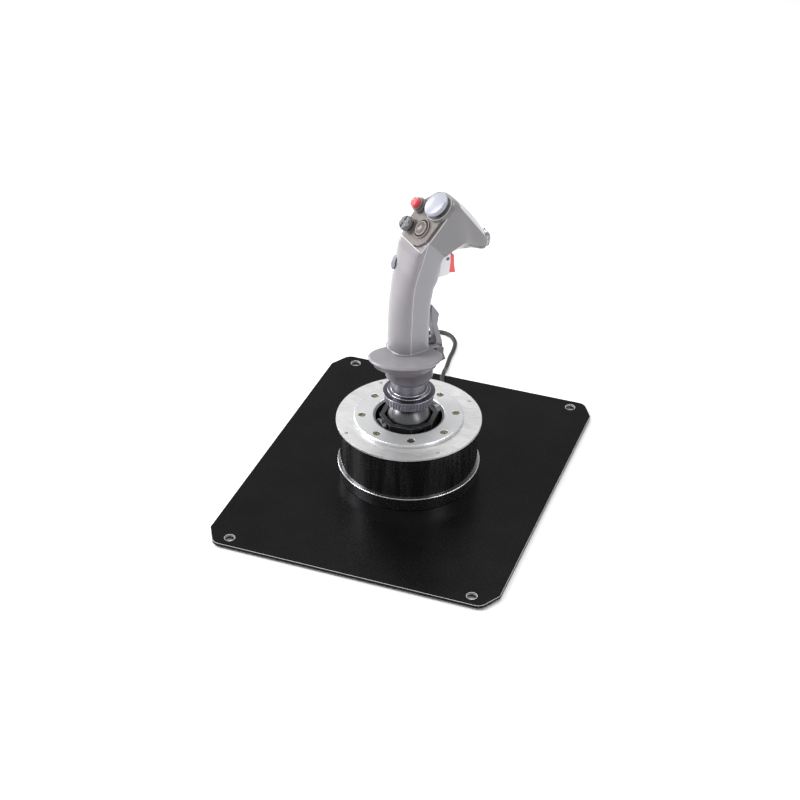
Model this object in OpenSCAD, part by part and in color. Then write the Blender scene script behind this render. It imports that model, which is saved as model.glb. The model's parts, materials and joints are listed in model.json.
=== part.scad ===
// Desktop flight joystick: a drilled desk plate with a round magnetic-centring
// base, a two-axis gimbal, and a tall pistol grip held by a knurled ring.
// Millimetres, +Z up, origin on the floor under the middle of the plate.
// The grip has a frame of its own: x to its right, y forward, turned by
// stick_yaw about the upright axis, with heights measured from the plate top.

/* [Plate] */
// Width of the desk plate, side to side
plate_w = 250; // [240:1:270]
// Depth of the desk plate, front to back
plate_l = 300; // [290:1:320]
// Thickness of the desk plate
plate_t = 3; // [2.5:0.5:5]
// Radius of the soft end of each cut corner
plate_corner_r = 9; // [5:1:12]
// Spacing of the corner holes, side to side
hole_span_x = 208; // [200:1:212]
// Spacing of the corner holes, front to back
hole_span_y = 280; // [274:1:284]
// Radius of the corner holes
hole_r = 3.5; // [2.5:0.5:4]
// Height of the rubber feet
foot_h = 1.5; // [1:0.5:3]

/* [Base] */
// Outer radius of the barrel
barrel_r = 58.6; // [57:0.2:59]
// Height of the top flange's upper face over the plate
barrel_h = 54.5; // [54:0.5:56]
// Outer radius of the top flange
flange_r = 61.5; // [61:0.5:64]
// Outer radius of the raised cover ring
cover_r = 46.5; // [45:0.5:49]
// Radius of the opening that the stick comes out of
opening_r = 29.7; // [29.5:0.1:31]
// Number of screws in the cover ring
cover_screws = 8; // [4:1:12]

/* [Gimbal] */
// Turn of the grip and gimbal about the upright axis
stick_yaw = -42.75; // [-90:0.25:90]
// Height of the gimbal centre over the plate
pivot_h = 54; // [53:0.5:55]
// Radius of the ball over the gimbal
ball_r = 18.5; // [17.5:0.1:18.6]
// Radius of the gimbal pins
gimbal_pin_r = 2; // [1.5:0.1:2.2]
// Radial clearance of a turning pin in its bearing
pin_play = 0.03; // [0.01:0.01:0.06]

/* [Grip] */
// Thickness of the grip's shells
shell_t = 2.6; // [2.2:0.1:3]
// Slope of the thumb panel, up from the horizontal
face_slope = 50; // [46:1:54]
// Height of the palm shelf's upper face over the plate
shelf_h = 126; // [124:1:128]

/* [Cord] */
// Diameter of the data cord
cord_d = 4; // [3.6:0.1:4]
// Middle radius of the coiled cord
coil_mid_r = 23; // [21:0.5:23]

/* [Quality] */
// Facets on round parts
round_fn = 96; // [64:8:128]

/* [Hidden] */

plate_top = foot_h + plate_t;
pivot_z = plate_top + pivot_h;
flange_t = 2;
skirt_h = 13;
skirt_top_r = 60.7;
skirt_foot_r = 59;
skirt_in_r = 50;
barrel_in_r = 54;
cover_t = 3.3;
cover_screw_r = 39.5;
flange_screw_r = 57;
corner_long = 17.8;
corner_short = 15.5;
screw_ring_r = 42;
screw_hole_r = 1.5;
eps = 0.5;

// Gimbal: its bracket, bearings, eight-sided ring and the ball above it
bracket_t = 4;
post_y0 = 23.4;
post_y1 = 27.4;
post_half = 6;
bearing_r = 3.5;
ring_in = 19.3;
ring_out = 23;
ring_low = 8;
ring_high = 4.5;
spindle_r = 6;
dome_cut = 16;
dome_low = -11;
dome_t = 2.2;

// Connector, neck, cone and palm shelf between the gimbal and the grip
connector_z = pivot_h + dome_cut + 3;
thread_r = 18;
neck_z0 = 76;
neck_r = 15.2;
neck_in_r = 10;
neck_top = 104;
cone_r = 19.8;
cone_foot = 94.6;
shelf_t = 3.6;
plate_under = shelf_h - shelf_t;
shelf_c = [12.6, -10.3];
shelf_long = 30.5;
shelf_right = 20;
shelf_left = 17.5;
shelf_turn = -26;
shelf_sides = 60;
SHELF_SCREW_X = [-8, 8];
SHELF_SCREW_Y = [-11, 7.5];

// Column, head and horn of the grip: each row is the line across one section,
// [rear or top y, z, front or under y, z, half width, shift in x, seam's place
// along the line, squareness behind the seam, squareness ahead of it].
GRIP_SECTIONS = [
    [-18.2, 126, 13.5, 126, 15.0, 0.0, 0.37, 2.0, 4.0],
    [-18.2, 140, 13.7, 140, 15.0, 0.0, 0.37, 2.0, 4.0],
    [-17.6, 154, 14.1, 154, 15.0, 0.0, 0.37, 2.0, 4.0],
    [-16.6, 165, 14.8, 166, 15.1, 0.0, 0.35, 2.1, 4.0],
    [-15.0, 175, 16.4, 175, 15.4, 0.0, 0.33, 2.2, 4.0],
    [-12.8, 184, 18.0, 181, 15.8, -0.3, 0.28, 2.4, 3.8],
    [-10.2, 192, 21.8, 187, 16.2, -0.7, 0.24, 2.8, 3.6],
    [-7.4, 200, 23.4, 195, 16.8, -1.0, 0.22, 3.2, 3.6],
    [-4.8, 209, 25.0, 203, 17.4, -1.4, 0.20, 3.6, 3.6],
    [-1.2, 218.5, 29.0, 208, 17.8, -1.6, 0.18, 4.6, 3.4],
    [9.5, 235, 36.0, 209.6, 18.0, -1.2, 0.18, 5.0, 3.2],
    [20.5, 248.6, 41.5, 210, 17.4, -0.6, 0.20, 4.6, 3.0],
    [31.6, 255.8, 46.6, 209.0, 13.4, 1.0, 0.30, 3.4, 2.8],
    [42.6, 248.8, 51.4, 207.0, 11.4, 0.4, 0.45, 2.8, 2.6],
    [52.4, 237.4, 56.8, 204.2, 10.4, 0.0, 0.50, 2.5, 2.4],
    [60.6, 226.8, 61.8, 201.4, 9.9, 0.0, 0.50, 2.2, 2.2],
    [64.2, 219.8, 64.2, 200.4, 9.3, 0.0, 0.50, 2.0, 2.0]
];
section_sides = 24;

// Seam between the rear and front shells, up the side of the grip
SEAM = [
    [-6.4, 120], [-6.2, 140], [-5.7, 155], [-5.4, 166], [-4.6, 180], [-1.8, 195],
    [1.6, 206], [7.4, 225]
];
seam_back_y = -40;

// Thumb panel: its lowest edge point, outline and the places of its controls
face_y = 6.6;
face_z = 226;
FACE_OUTLINE = [
    [-12.5, -6.2], [-6.0, -7.6], [4.0, -7.6], [10.5, -5.0], [15.0, 1.0], [15.6, 14],
    [15.0, 28], [12, 35], [2, 37.5], [-8, 34.5], [-15.5, 28.5], [-19, 20], [-19.2, 10],
    [-17.5, 1]
];
panel_t = 2.4;
trim_pos = [5.6, 28.2, 0];
trim_tilt = -9;
castle_pos = [-11.5, 2.6, 0];
thumb_pos = [2.4, 7.2, 0];
weapon_pos = [-15.6, 20, 0];
side_pos = [-17.5, -6.1, 197];
side_turn = 220;
pod_r = 7.4;
trim_seat_r = 11.9;
horn_seat_r = 7.2;
horn_rim_r = 8.4;

horn_tip = [0, 64.2, 210.1];

// Trigger, its spring and the pinkie lever, placed as [y, z] in the side view
trigger_pivot = [30, 203.4];
trigger_pin_r = 1.5;
trigger_half = 4.5;
housing_half = 8;
spring_start_y = 25.5;
spring_z = 192;
lever_pivot = [24, 119];
lever_pin_r = 1.5;
lever_half = 5;

// Pivot balls under the hats
pivot_depth = -3;
pivot_r = 1.5;
pivot_gap = 0.4;

// Cord: its route off the coil, by hand, and its coil behind the barrel
coil_c = [-34, 91];
coil_wide = 5;
coil_high = 2;
gland_x = 10;
gland_z = 22;
CORD_ROUTE = [
    [10, 78, 22], [10, 84, 22], [10, 90, 20], [9, 97, 16], [7, 104, 12], [3, 111, 9],
    [-3, 119, 7], [-9, 126, 6.5], [-15, 133, 6.5], [-19, 141, 6.5], [-20, 148, 6.6],
    [-21, 153, 6.2], [-22, 158, 4.2], [-23, 164, 2.4], [-24, 171, 2], [-26, 184, 2],
    [-27, 198, 2], [-30, 211, 2], [-38, 221, 2], [-48, 224, 2], [-58, 220, 2],
    [-64, 210, 2], [-66, 197, 2], [-66, 180, 2], [-65, 168, 2], [-65, 162, 2.6],
    [-65, 157, 4.4], [-65, 152, 6.2], [-65, 147, 6.6], [-65, 140, 6.5],
    [-65, 124, 6.5], [-65, 106, 6.5], [-65, 92, 6.5]
];
TAIL_ROUTE = [
    [-49, 118, 10.5], [-56, 113, 11], [-62, 107, 11.2], [-68, 100, 11], [-73, 92, 10],
    [-76, 85, 9], [-77, 79, 8.5], [-76.8, 74, 8.5]
];
plug_p = [-76.8, 74, 8.5];
plug_turn = 20.25;

// ---------- helpers ----------

// Places children in the grip's own frame
module stick_frame() {
    rotate([0, 0, stick_yaw]) translate([0, 0, plate_top]) children();
}

// Places children in the thumb panel's frame: x right, y up the slope, z out
module face_frame() {
    stick_frame() translate([0, face_y, face_z]) rotate([face_slope, 0, 0]) children();
}

module trim_frame() {
    face_frame() translate(trim_pos) rotate([trim_tilt, 0, 0]) children();
}

// Side hat on the left of the grip, z pointing out of it
module side_frame() {
    stick_frame() translate(side_pos) rotate([0, 0, side_turn]) rotate([0, 90, 0])
        children();
}

// Horn's end, z pointing out of it
module horn_frame() {
    stick_frame() translate(horn_tip) rotate([-90, 0, 0]) children();
}

// Copies children around the upright axis
module around(count, start = 0) {
    for (i = [0:count - 1]) rotate([0, 0, start + i * 360 / count]) children();
}

// Rod between two x positions at a place in the grip's side view
module cross_rod(r, x0, x1, y, z) {
    translate([x0, y, z]) rotate([0, 90, 0]) cylinder(r = r, h = x1 - x0, $fn = 48);
}

module ring(r_out, r_in, z0, z1) {
    translate([0, 0, z0]) difference() {
        cylinder(r = r_out, h = z1 - z0, $fn = round_fn);
        translate([0, 0, -eps]) cylinder(r = r_in, h = z1 - z0 + 2 * eps, $fn = round_fn);
    }
}

// Side-view outline given thickness along x
module side_slab(outline, x0, x1) {
    translate([x0, 0, 0]) rotate([90, 0, 90]) linear_extrude(height = x1 - x0)
        polygon(outline);
}

function power(v, e) = sign(v) * pow(abs(v), e);

// One section of the grip, shrunk by inset on every side
function section_ring(s, inset) =
    let (a = [s[0], s[1]], b = [s[2], s[3]], along = (b - a) / norm(b - a))
    let (rear = s[6] * norm(b - a), front = norm(b - a) - rear)
    let (seam = a + rear * along)
    [for (i = [0:section_sides - 1])
        let (angle = i * 360 / section_sides, ahead = cos(angle) > 0)
        let (e = 2 / (ahead ? s[8] : s[7]), reach = (ahead ? front : rear) - inset)
        let (u = power(cos(angle), e) * reach)
        let (v = power(sin(angle), e) * (s[4] - inset))
        [s[5] + v, seam[0] + along[0] * u, seam[1] + along[1] * u]];

// Closed skin over a list of rings that have the same number of points
module skin(rings) {
    n = len(rings[0]);
    m = len(rings);
    sides = [for (k = [0:m - 2], i = [0:n - 1])
        let (a = k * n + i, b = k * n + (i + 1) % n)
        each [[a, b, b + n], [a, b + n, a + n]]];
    first_cap = [for (i = [n - 1:-1:0]) i];
    last_cap = [for (i = [0:n - 1]) (m - 1) * n + i];
    polyhedron(points = [for (r = rings, p = r) p],
               faces = concat(sides, [first_cap, last_cap]), convexity = 8);
}

module grip_outer() {
    skin([for (s = GRIP_SECTIONS) section_ring(s, 0)]);
}

// The hollow inside the grip, open at the foot and closed before the horn's end
module grip_inner() {
    last = len(GRIP_SECTIONS) - 2;
    foot = GRIP_SECTIONS[0];
    sunk = [for (p = section_ring(foot, shell_t)) p - [0, 0, 2]];
    skin([sunk,
          for (i = [1:last]) section_ring(GRIP_SECTIONS[i], shell_t)]);
}

// Everything above the thumb panel's plane
module above_face() {
    translate([-40, face_y, face_z]) rotate([face_slope, 0, 0])
        translate([0, -7.6, 0]) cube([80, 46.1, 40]);
}

module rear_zone() {
    side_slab(concat([[seam_back_y, 120]], SEAM, [[seam_back_y, 225]]), -40, 40);
}

// Cord swept along its route: rings face along the bisector of their neighbours
function unit(v) = v / norm(v);
function heading(r, i) =
    unit(r[min(i + 1, len(r) - 1)] - r[max(i - 1, 0)]);
function tube_ring(c, t, r) =
    let (side = unit(cross(t, [0, 0, 1])), up = cross(side, t))
    [for (i = [0:7]) c + r * (cos(45 * i + 22.5) * side + sin(45 * i + 22.5) * up)];
module tube(route, r) {
    skin([for (i = [0:len(route) - 1]) tube_ring(route[i], -heading(route, i), r)]);
}

// Cross-recess pan head on a shank, head down to z = 0
module screw(head_r, head_h, shank_r, shank_l) {
    difference() {
        union() {
            cylinder(r = head_r, h = head_h, $fn = 32);
            translate([0, 0, -shank_l]) cylinder(r = shank_r, h = shank_l + eps, $fn = 32);
        }
        for (a = [0, 90]) rotate([0, 0, a])
            translate([-head_r * 0.6, -head_r * 0.12, head_h * 0.45])
                cube([head_r * 1.2, head_r * 0.24, head_h]);
    }
}

// ---------- base ----------

module cut_corner_plate(w, l, r, h) {
    linear_extrude(height = h) hull() {
        square([w, l - 2 * corner_long], center = true);
        for (x = [-1, 1], y = [-1, 1])
            translate([x * (w / 2 - corner_short), y * (l / 2 - r)])
                circle(r = r, $fn = round_fn);
    }
}

module base_plate() {
    sink = 0.8;
    color([0.12, 0.12, 0.13]) translate([0, 0, foot_h]) difference() {
        cut_corner_plate(plate_w, plate_l, plate_corner_r, plate_t);
        for (x = [-1, 1], y = [-1, 1])
            translate([x * hole_span_x / 2, y * hole_span_y / 2, 0]) {
                translate([0, 0, -eps]) cylinder(r = hole_r, h = plate_t + 2 * eps, $fn = 48);
                translate([0, 0, plate_t - sink])
                    cylinder(r1 = hole_r, r2 = hole_r + sink + 0.02, h = sink + 0.02, $fn = 48);
            }
        around(4, 45) translate([screw_ring_r, 0, -eps]) {
            cylinder(r = 2, h = plate_t + 2 * eps, $fn = 32);
            cylinder(r = 3.6, h = 1.6 + eps, $fn = 32);
        }
    }
}

module rubber_feet() {
    color([0.08, 0.08, 0.08])
        for (x = [-1, 1], y = [-1, 0, 1])
            translate([x * (plate_w / 2 - 22), y * (plate_l / 2 - 34), 0])
                cylinder(r = 9, h = foot_h, $fn = 48);
}

module plate_screws() {
    color([0.35, 0.35, 0.36]) around(4, 45)
        translate([screw_ring_r, 0, foot_h + 1.6]) rotate([180, 0, 0])
            screw(3.6, 1.6, 2, 7);
}

module skirt_ring() {
    color([0.62, 0.64, 0.66]) translate([0, 0, plate_top]) difference() {
        cylinder(r1 = skirt_foot_r, r2 = skirt_top_r, h = skirt_h, $fn = round_fn);
        translate([0, 0, -eps]) cylinder(r = skirt_in_r, h = skirt_h + 2 * eps, $fn = round_fn);
        translate([gland_x - 6.6, 40, gland_z - plate_top - 6.2]) cube([13.2, 30, 20]);
    }
}

module barrel_housing() {
    barrel_z0 = plate_top + skirt_h;
    color([0.1, 0.1, 0.11]) difference() {
        ring(barrel_r, barrel_in_r, barrel_z0, plate_top + barrel_h - flange_t);
        translate([gland_x, barrel_in_r - 8, gland_z]) rotate([-90, 0, 0])
            cylinder(r = 3.2, h = 16, $fn = 32);
    }
}

module top_flange() {
    z0 = plate_top + barrel_h - flange_t;
    color([0.78, 0.79, 0.8]) difference() {
        ring(flange_r, opening_r, z0, z0 + flange_t);
        around(4, 45) translate([flange_screw_r, 0, z0 + 0.7]) cylinder(r = 1.6, h = 4, $fn = 32);
        around(cover_screws, 22.5)
            translate([cover_screw_r, 0, z0 - eps])
                cylinder(r = screw_hole_r, h = 4, $fn = 32);
    }
}

module cover_ring() {
    z0 = plate_top + barrel_h;
    chamfer = 0.8;
    color([0.88, 0.89, 0.9]) difference() {
        rotate_extrude($fn = round_fn) polygon([
            [opening_r, z0], [cover_r, z0], [cover_r, z0 + cover_t - chamfer],
            [cover_r - chamfer, z0 + cover_t], [opening_r + chamfer, z0 + cover_t],
            [opening_r, z0 + cover_t - chamfer]]);
        around(cover_screws, 22.5) translate([cover_screw_r, 0, z0 - eps]) {
            cylinder(r = 1.5, h = cover_t + 2 * eps, $fn = 32);
            translate([0, 0, eps + 1.7]) cylinder(r = 3.1, h = 4, $fn = 32);
        }
    }
}

module cover_ring_screws() {
    color([0.7, 0.6, 0.35]) around(cover_screws, 22.5)
        translate([cover_screw_r, 0, plate_top + barrel_h + 1.7]) screw(3.1, 1.6, 1.5, 3.6);
}

module aperture_lip() {
    z0 = plate_top + barrel_h;
    color([0.06, 0.06, 0.07]) rotate_extrude($fn = round_fn) polygon([
        [28.3, z0 - flange_t - 2], [36, z0 - flange_t - 2], [36, z0 - flange_t],
        [opening_r - 0.1, z0 - flange_t], [opening_r - 0.1, z0 + cover_t - 1.2],
        [28.3, z0 + cover_t - 1.2]]);
}

// ---------- gimbal ----------

module gimbal_bracket() {
    color([0.25, 0.25, 0.27]) stick_frame() difference() {
        union() {
            cylinder(r = skirt_in_r, h = bracket_t, $fn = round_fn);
            for (s = [-1, 1]) {
                translate([-post_half, s * (post_y0 + post_y1) / 2 - (post_y1 - post_y0) / 2, 0])
                    cube([2 * post_half, post_y1 - post_y0, pivot_h]);
                translate([0, s * (post_y0 + post_y1) / 2 + (post_y1 - post_y0) / 2, pivot_h])
                    rotate([90, 0, 0]) cylinder(r = post_half, h = post_y1 - post_y0, $fn = 64);
                translate([-35, s * 14, 0]) cylinder(r = 2.5, h = 8, $fn = 32);
            }
        }
        for (s = [-1, 1]) translate([0, s * 25.4 + 5, pivot_h]) rotate([90, 0, 0])
            cylinder(r = bearing_r, h = 10, $fn = 48);
        rotate([0, 0, -stick_yaw]) around(4, 45)
            translate([screw_ring_r, 0, -eps]) cylinder(r = 2, h = 8, $fn = 32);
    }
}

module bearing(y0, y1) {
    translate([0, y1, 0]) rotate([90, 0, 0]) difference() {
        cylinder(r = bearing_r, h = y1 - y0, $fn = 48);
        translate([0, 0, -eps])
            cylinder(r = gimbal_pin_r + pin_play, h = y1 - y0 + 2 * eps, $fn = 48);
    }
}

module roll_bearings() {
    color([0.75, 0.76, 0.78]) stick_frame() translate([0, 0, pivot_h]) {
        bearing(post_y0, post_y1);
        bearing(-post_y1, -post_y0);
    }
}

module magnet_carrier() {
    color([0.3, 0.31, 0.33]) stick_frame() difference() {
        translate([0, 0, bracket_t]) cylinder(r = 14, h = 12, $fn = 64);
        translate([0, 0, bracket_t + 6]) cylinder(r = 9, h = 8, $fn = 64);
        translate([0, 0, bracket_t - eps]) cylinder(r = 11, h = 3 + eps, $fn = 64);
    }
}

module centring_magnet() {
    color([0.7, 0.71, 0.73]) stick_frame()
        translate([0, 0, bracket_t + 6]) cylinder(r = 9, h = 5, $fn = 64);
}

module sensor_board() {
    color([0.1, 0.3, 0.18]) stick_frame()
        translate([0, 0, bracket_t]) cylinder(r = 11, h = 1.6, $fn = 64);
    color([0.1, 0.1, 0.1]) stick_frame()
        translate([-2.5, -2.5, bracket_t + 1.6]) cube([5, 5, 1.2]);
}

module main_board() {
    color([0.1, 0.3, 0.18]) stick_frame()
        translate([-45, -19, 8]) cube([20, 38, 1.6]);
    color([0.1, 0.1, 0.1]) stick_frame() {
        translate([-40, -5, 9.6]) cube([10, 10, 1.4]);
        translate([-37, 9, 9.6]) cube([6, 7, 4]);
    }
}

module gimbal_ring() {
    color([0.13, 0.13, 0.14]) stick_frame() translate([0, 0, pivot_h]) difference() {
        translate([0, 0, -ring_low]) rotate([0, 0, 22.5])
            cylinder(r = ring_out / cos(22.5), h = ring_low + ring_high, $fn = 8);
        translate([0, 0, -ring_low - eps]) rotate([0, 0, 22.5])
            cylinder(r = ring_in / cos(22.5), h = ring_low + ring_high + 2 * eps, $fn = 8);
        for (a = [0, 180]) rotate([0, 0, a]) translate([0, ring_out + 1, 0])
            rotate([90, 0, 0]) cylinder(r = gimbal_pin_r, h = 6, $fn = 48);
        for (a = [90, 270]) rotate([0, 0, a]) translate([0, ring_out + 1, 0])
            rotate([90, 0, 0]) cylinder(r = bearing_r, h = 6, $fn = 48);
    }
}

module roll_pins() {
    color([0.8, 0.8, 0.82]) stick_frame() translate([0, 0, pivot_h])
        for (a = [0, 180]) rotate([0, 0, a]) translate([0, post_y1, 0]) rotate([90, 0, 0])
            cylinder(r = gimbal_pin_r, h = post_y1 - ring_in, $fn = 48);
}

module pitch_bearings() {
    color([0.75, 0.76, 0.78]) stick_frame() translate([0, 0, pivot_h])
        for (a = [90, 270]) rotate([0, 0, a]) bearing(ring_in, ring_out);
}

// ---------- lower stick ----------

module ball_dome() {
    color([0.42, 0.43, 0.46]) stick_frame() translate([0, 0, pivot_h]) difference() {
        sphere(r = ball_r, $fn = round_fn);
        sphere(r = ball_r - dome_t, $fn = round_fn);
        translate([-30, -30, dome_cut]) cube([60, 60, 10]);
        translate([-30, -30, dome_low - 30]) cube([60, 60, 30]);
        cylinder(r = spindle_r, h = 30, $fn = 48);
        cross_rod(gimbal_pin_r, -30, 30, 0, 0);
    }
}

module stick_spindle() {
    color([0.6, 0.61, 0.63]) stick_frame() difference() {
        union() {
            translate([0, 0, pivot_h - 26]) cylinder(r = spindle_r, h = 26 + dome_cut + 1, $fn = 48);
            translate([0, 0, pivot_h + dome_cut]) cylinder(r = 12, h = 3, $fn = 64);
        }
        translate([0, 0, pivot_h]) cross_rod(gimbal_pin_r, -30, 30, 0, 0);
        translate([0, 0, pivot_h + 6]) cylinder(r = 3, h = 20, $fn = 32);
    }
}

module pitch_pins() {
    color([0.8, 0.8, 0.82]) stick_frame() translate([0, 0, pivot_h]) {
        cross_rod(gimbal_pin_r, 1, ring_out - 0.2, 0, 0);
        cross_rod(gimbal_pin_r, -ring_out + 0.2, -1, 0, 0);
    }
}

module moving_magnet() {
    color([0.7, 0.71, 0.73]) stick_frame()
        translate([0, 0, pivot_h - 30]) cylinder(r = 8, h = 4, $fn = 64);
}

module connector_plate() {
    color([0.16, 0.17, 0.2]) stick_frame() difference() {
        translate([0, 0, connector_z]) cylinder(r = 16.9, h = 2, $fn = round_fn);
        translate([0, 0, connector_z - eps]) cylinder(r = 5, h = 4, $fn = 48);
    }
}

module din_socket() {
    color([0.75, 0.72, 0.62]) stick_frame() difference() {
        translate([0, 0, connector_z]) cylinder(r = 5, h = 5, $fn = 48);
        translate([0, 0, connector_z + 2]) cylinder(r = 4.3, h = 4, $fn = 48);
    }
    color([0.8, 0.7, 0.4]) stick_frame() translate([0, 0, connector_z + 2])
        around(6) translate([2.6, 0, 0]) cylinder(r = 0.4, h = 2.4, $fn = 16);
}

module locking_ring() {
    flutes = 44;
    z0 = pivot_h + 19;
    color([0.6, 0.61, 0.62]) stick_frame() difference() {
        rotate_extrude($fn = round_fn) polygon([
            [17.4, z0], [19.8, z0], [20.6, z0 + 0.8], [20.6, z0 + 7.2], [21.8, z0 + 7.8],
            [22, z0 + 8], [22, z0 + 8.8], [21.8, z0 + 9],
            [thread_r + 0.04, z0 + 9], [thread_r + 0.04, z0 + 2.4], [17.4, z0 + 2.4]]);
        around(flutes) translate([20.7, 0, z0 - eps]) cylinder(r = 0.9, h = 7.3, $fn = 12);
    }
}

module grip_neck() {
    color([0.72, 0.72, 0.74]) stick_frame() rotate_extrude($fn = round_fn) polygon([
        [neck_in_r, neck_z0], [thread_r, neck_z0], [thread_r, 83.4], [neck_r, 84.6],
        [neck_r, neck_top], [neck_in_r, neck_top]]);
}

module grip_cone() {
    color([0.3, 0.29, 0.33]) stick_frame() difference() {
        rotate_extrude($fn = round_fn) polygon([
            [neck_r, cone_foot], [16.4, cone_foot], [cone_r, cone_foot + 4],
            [cone_r, plate_under], [neck_in_r, plate_under], [neck_in_r, 118], [17, 118],
            [17, 106], [neck_r, neck_top]]);
        for (x = SHELF_SCREW_X, y = SHELF_SCREW_Y)
            translate([x, y, 110]) cylinder(r = screw_hole_r, h = 14, $fn = 32);
    }
}

// Egg-shaped outline of the shelf, its outer side fuller than its inner side
function shelf_point(angle, shrink) =
    let (x = (cos(angle) > 0 ? shelf_right : shelf_left) - shrink, y = shelf_long - shrink)
    let (p = [x * cos(angle), y * sin(angle)])
    shelf_c + [p[0] * cos(shelf_turn) - p[1] * sin(shelf_turn),
               p[0] * sin(shelf_turn) + p[1] * cos(shelf_turn)];
function shelf_ring(shrink, z) =
    [for (i = [0:shelf_sides - 1])
        let (p = shelf_point(-i * 360 / shelf_sides, shrink)) [p[0], p[1], z]];

module palm_shelf() {
    bowl_c = [4, -5];
    bowl_r = 22.5;
    bowl_foot = [for (i = [0:shelf_sides - 1]) let (a = shelf_turn - i * 360 / shelf_sides)
        [bowl_c[0] + bowl_r * cos(a), bowl_c[1] + bowl_r * sin(a), 112.5]];
    color([0.58, 0.58, 0.6]) stick_frame() difference() {
        union() {
            difference() {
                skin([bowl_foot, shelf_ring(5, 117), shelf_ring(3, plate_under),
                      shelf_ring(1, plate_under + 0.6), shelf_ring(0, shelf_h - 1.2),
                      shelf_ring(0.8, shelf_h - 0.4), shelf_ring(1.4, shelf_h)]);
                translate([0, 0, 100])
                    cylinder(r = cone_r, h = plate_under - 100, $fn = round_fn);
            }
            translate([0, 0, plate_under]) linear_extrude(height = shelf_h - plate_under)
                polygon([for (p = section_ring(GRIP_SECTIONS[0], -1.2)) [p[0], p[1]]]);
            for (s = [-1, 1])
                side_slab([[8, plate_under], [20.6, plate_under], [20.6, 116], [24, 114.6],
                           [27.4, 116.5], [27.6, 120.6], [22, 124.4], [8, 125]],
                          s * 7.1 - 1.6, s * 7.1 + 1.6);
        }
        translate([0, 0, shelf_h - 6]) cylinder(r = 8, h = 10, $fn = 48);
        translate([-lever_half - 0.5, 15.5, 100]) cube([2 * lever_half + 1, 30, 40]);
        cross_rod(lever_pin_r, -12, 12, lever_pivot[0], lever_pivot[1]);
        for (x = SHELF_SCREW_X, y = SHELF_SCREW_Y)
            translate([x, y, 110]) cylinder(r = screw_hole_r, h = 20, $fn = 32);
    }
}

module shelf_screws() {
    color([0.3, 0.3, 0.31]) stick_frame() for (x = SHELF_SCREW_X, y = SHELF_SCREW_Y)
        translate([x, y, 118]) rotate([180, 0, 0]) screw(2.7, 2, 1.5, 14);
}

// ---------- grip shells ----------

module grip_wall() {
    difference() {
        grip_outer();
        grip_inner();
    }
}

module boss(x, y) {
    translate([x, y, shelf_h]) cylinder(r = 3.4, h = 8, $fn = 32);
}

module grip_rear_shell() {
    color([0.62, 0.61, 0.64]) stick_frame() difference() {
        union() {
            intersection() {
                grip_wall();
                rear_zone();
            }
            for (x = SHELF_SCREW_X) boss(x, SHELF_SCREW_Y[0]);
        }
        above_face();
        for (x = SHELF_SCREW_X)
            translate([x, SHELF_SCREW_Y[0], 110])
                cylinder(r = screw_hole_r, h = 30, $fn = 32);
        side_hole();
    }
}

module side_hole() {
    translate(side_pos) rotate([0, 0, side_turn]) rotate([0, 90, 0])
        translate([0, 0, -14]) cylinder(r = pod_r, h = 20, $fn = 48);
}

module grip_front_shell() {
    color([0.6, 0.6, 0.62]) stick_frame() difference() {
        union() {
            grip_wall();
            for (x = SHELF_SCREW_X) boss(x, SHELF_SCREW_Y[1]);
        }
        rear_zone();
        above_face();
        for (x = SHELF_SCREW_X)
            translate([x, SHELF_SCREW_Y[1], 110])
                cylinder(r = screw_hole_r, h = 30, $fn = 32);
        side_hole();
        translate([-lever_half - 0.6, 9, 120]) cube([2 * lever_half + 1.2, 30, 44]);
        translate([0, face_y, face_z]) rotate([face_slope, 0, 0])
            translate(trim_pos) rotate([trim_tilt, 0, 0]) translate([0, 0, -2])
                cylinder(r = trim_seat_r, h = 20, $fn = 64);
        translate([0, face_y, face_z]) rotate([face_slope, 0, 0]) translate(castle_pos)
            translate([-5, -5, pivot_depth - 9.7]) cube([10, 10, 20]);
        translate(horn_tip) rotate([-90, 0, 0]) {
            translate([0, 0, -4]) cylinder(r = horn_seat_r, h = 20, $fn = 48);
            translate([0, 0, -0.05]) cylinder(r = horn_rim_r + 0.1, h = 16, $fn = 48);
        }
    }
}

module face_panel() {
    color([0.3, 0.27, 0.26]) face_frame() difference() {
        union() {
            linear_extrude(height = panel_t) polygon(FACE_OUTLINE);
            translate(castle_pos) cylinder(r = 6.4, h = 4, $fn = 48);
            translate(thumb_pos) cylinder(r = 8.2, h = 3.6, $fn = 48);
            translate(weapon_pos) cylinder(r = 6.4, h = 5, $fn = 48);
            translate(weapon_pos) cylinder(r = 5.4, h = 7.5, $fn = 48);
        }
        translate(castle_pos) translate([0, 0, -eps]) cylinder(r = 4.4, h = 8, $fn = 48);
        translate(thumb_pos) translate([0, 0, -eps]) cylinder(r = 7.2, h = 8, $fn = 48);
        translate(weapon_pos) translate([0, 0, -eps]) cylinder(r = 4.3, h = 12, $fn = 48);
        translate(trim_pos) rotate([trim_tilt, 0, 0]) translate([0, 0, -10])
            cylinder(r = trim_seat_r, h = 30, $fn = 64);
    }
}

module trim_hat_bezel() {
    color([0.25, 0.25, 0.27]) trim_frame() difference() {
        translate([0, 0, -2]) cylinder(r = trim_seat_r, h = 5.5, $fn = 64);
        translate([0, 0, 1]) cylinder(r = 10.4, h = 8, $fn = 64);
        translate([0, 0, -3]) cylinder(r = 4.4, h = 8, $fn = 48);
    }
}

// Switch body under a hat: a square can with a post up to the pivot
module hat_switch() {
    translate([-4, -4, pivot_depth - 9.5]) cube([8, 8, 5.5]);
    translate([0, 0, pivot_depth - 4.5])
        cylinder(r = 1.8, h = 4.5 - pivot_r - pivot_gap, $fn = 32);
}

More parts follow.
